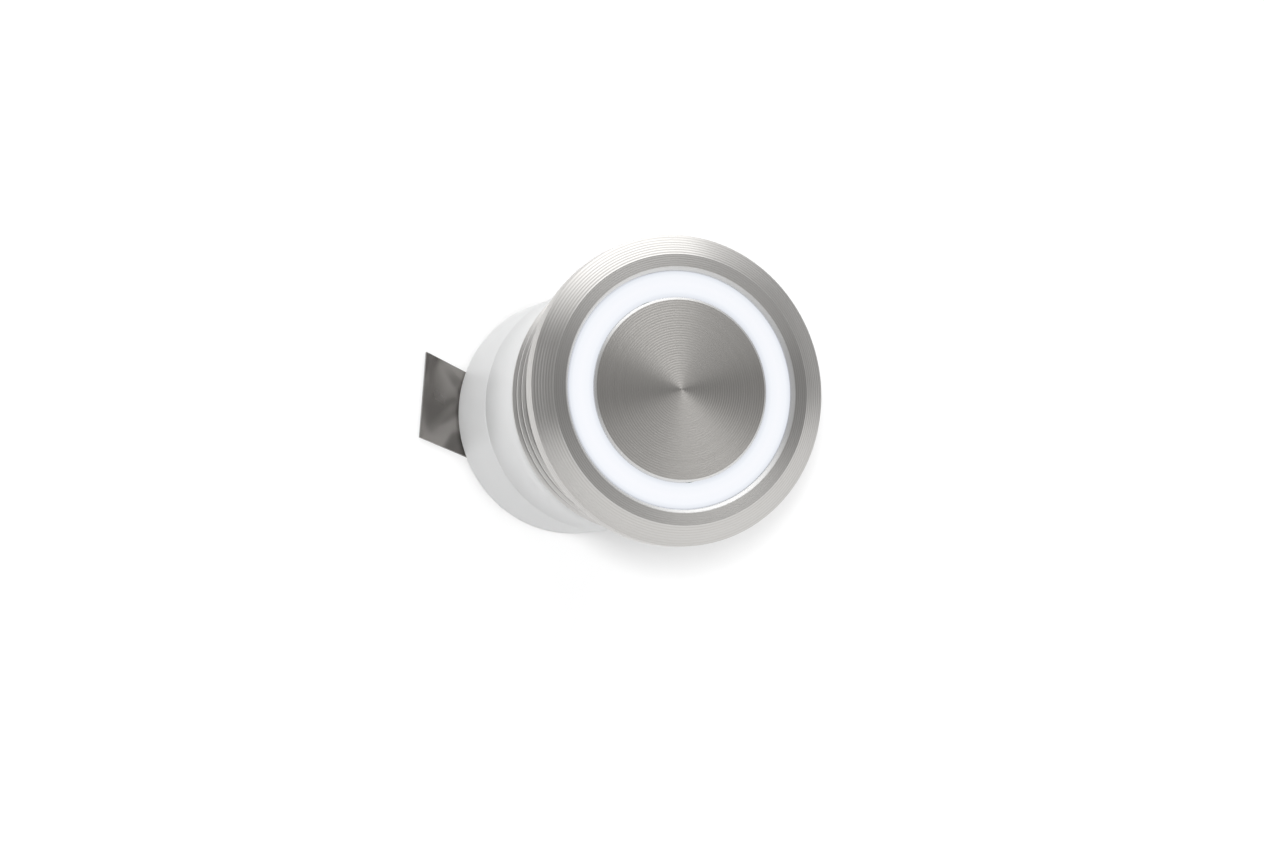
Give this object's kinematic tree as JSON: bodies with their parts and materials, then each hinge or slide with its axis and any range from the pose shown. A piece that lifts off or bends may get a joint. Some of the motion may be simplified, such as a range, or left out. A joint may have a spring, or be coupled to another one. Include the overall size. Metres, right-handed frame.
{
  "type": "illuminated latching push button",
  "caption": "Round turned-steel latching push button with a lit ring, threaded panel barrel, white body and short flat tail.",
  "frame": {"origin": "centre of the flange's seat, the plane that lies on the panel", "axes": "+Z out of the button's front along its axis, -X towards the tail"},
  "size_m": [0.0262, 0.0248, 0.0276],
  "materials": {
    "bezel_steel": "turned, fine concentric lines",
    "cap_steel": "turned, fine concentric lines",
    "light_white": "lit diffuser",
    "body_white": "satin",
    "tail_grey": "glossy",
    "seal_rubber": "matt",
    "inner_plastic": "satin",
    "inner_black": "matt",
    "spring_steel": "drawn wire and strip",
    "board_green": "matt",
    "contact_brass": "plain",
    "lamp_yellow": "clear"
  },
  "bodies": {
    "housing_body": {"bezel": "bezel_steel", "light_ring": "light_white", "housing": "body_white", "rear_cover": "body_white", "tail": "tail_grey", "tail_seal": "seal_rubber", "plunger_seal": "seal_rubber", "seal_washer": "spring_steel", "return_spring": "spring_steel", "pin_keeper": "spring_steel", "switch_frame": "inner_black", "contact_base": "inner_black", "led_board": "board_green", "connection_board": "board_green", "led_lead_left": "contact_brass", "led_lead_right": "contact_brass", "fixed_contact_left": "contact_brass", "fixed_contact_right": "contact_brass", "led_1": "lamp_yellow", "led_2": "lamp_yellow", "led_3": "lamp_yellow", "led_4": "lamp_yellow", "led_5": "lamp_yellow", "led_6": "lamp_yellow"},
    "actuator": {"actuator_cap": "cap_steel", "plunger": "inner_plastic", "plunger_clip": "spring_steel", "contact_bridge": "contact_brass", "contact_spring": "spring_steel"},
    "latch": {"latch_pin": "spring_steel"}
  },
  "joints": [
    {"name": "press_travel", "type": "slide", "parent": "housing_body", "child": "actuator", "axis": [0, 0, -1], "range_m": [0, 0.0022], "stiffness_N_per_m": 800, "springref_m": -0.003, "deforming": ["return_spring"]},
    {"name": "latch_swing", "type": "hinge", "parent": "housing_body", "child": "latch", "pos_m": [0, 0.0037, -0.01715], "axis": [0, 1, 0], "range_deg": [0, 15]}
  ],
  "couplings": [
    {"joint": "latch_swing", "follows": "press_travel", "rad_per_m": 118.9}
  ]
}
